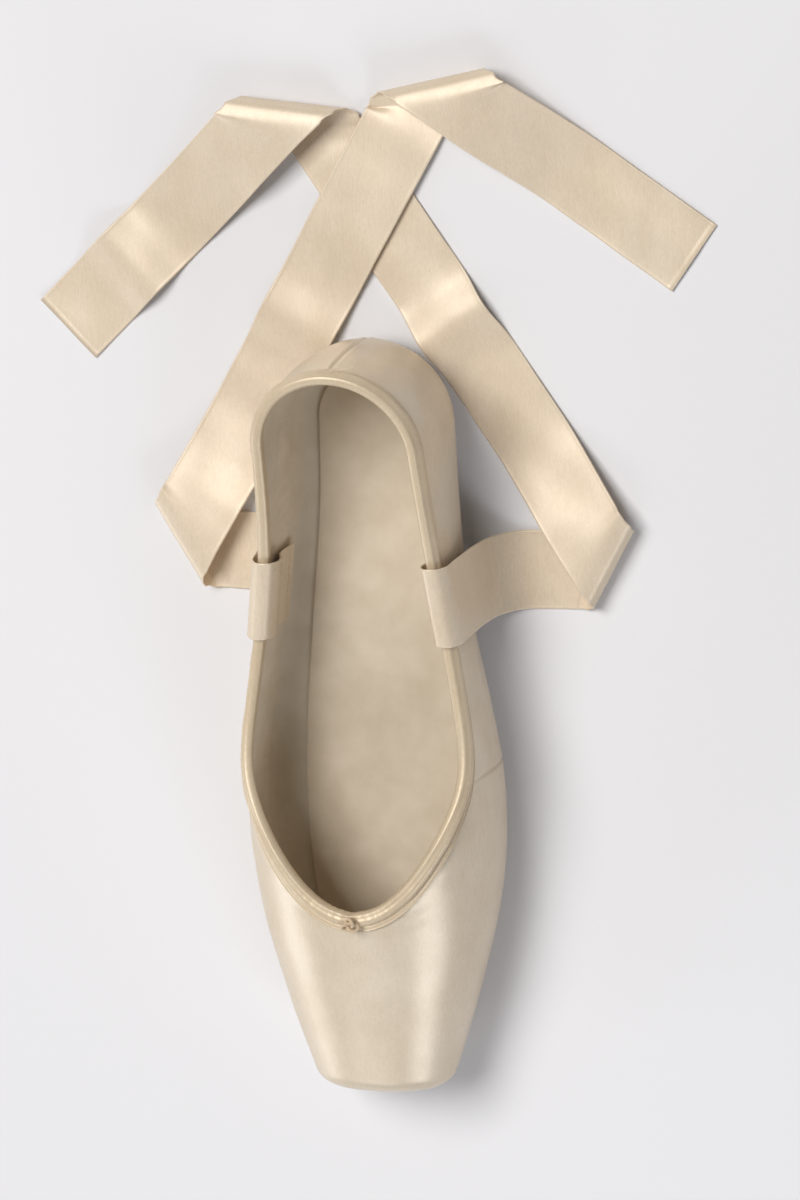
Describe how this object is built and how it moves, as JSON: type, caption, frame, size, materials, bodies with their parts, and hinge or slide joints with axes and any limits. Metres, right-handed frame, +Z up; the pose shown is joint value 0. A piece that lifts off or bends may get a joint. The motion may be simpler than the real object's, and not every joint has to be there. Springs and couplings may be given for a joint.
{
  "type": "pointe shoe",
  "caption": "Satin pointe shoe with a blocked oval toe, low drawstring collar, narrow leather outsole and loose ankle ribbons, standing empty on its sole.",
  "frame": {"origin": "on the floor under the middle of the shoe, ribbons and knot left out", "axes": "+Z up from the outsole, +Y from the toe to the heel, +X across to the side that is on the right when the toe points at the viewer's feet"},
  "size_m": [0.2168, 0.3177, 0.0591],
  "materials": {
    "upper": "champagne satin over a blocked toe, glossy",
    "outsole": "tan leather, matt",
    "insole": "cotton sock, matt",
    "binding": "satin casing, soft sheen",
    "drawstring_knot": "cotton cord, matt",
    "ribbon_left": "satin ribbon, soft sheen",
    "ribbon_right": "satin ribbon, soft sheen"
  },
  "bodies": {
    "root": {"upper": "upper", "outsole": "outsole", "insole": "insole", "binding": "binding", "drawstring_knot": "drawstring_knot", "ribbon_left": "ribbon_left", "ribbon_right": "ribbon_right"}
  },
  "joints": []
}
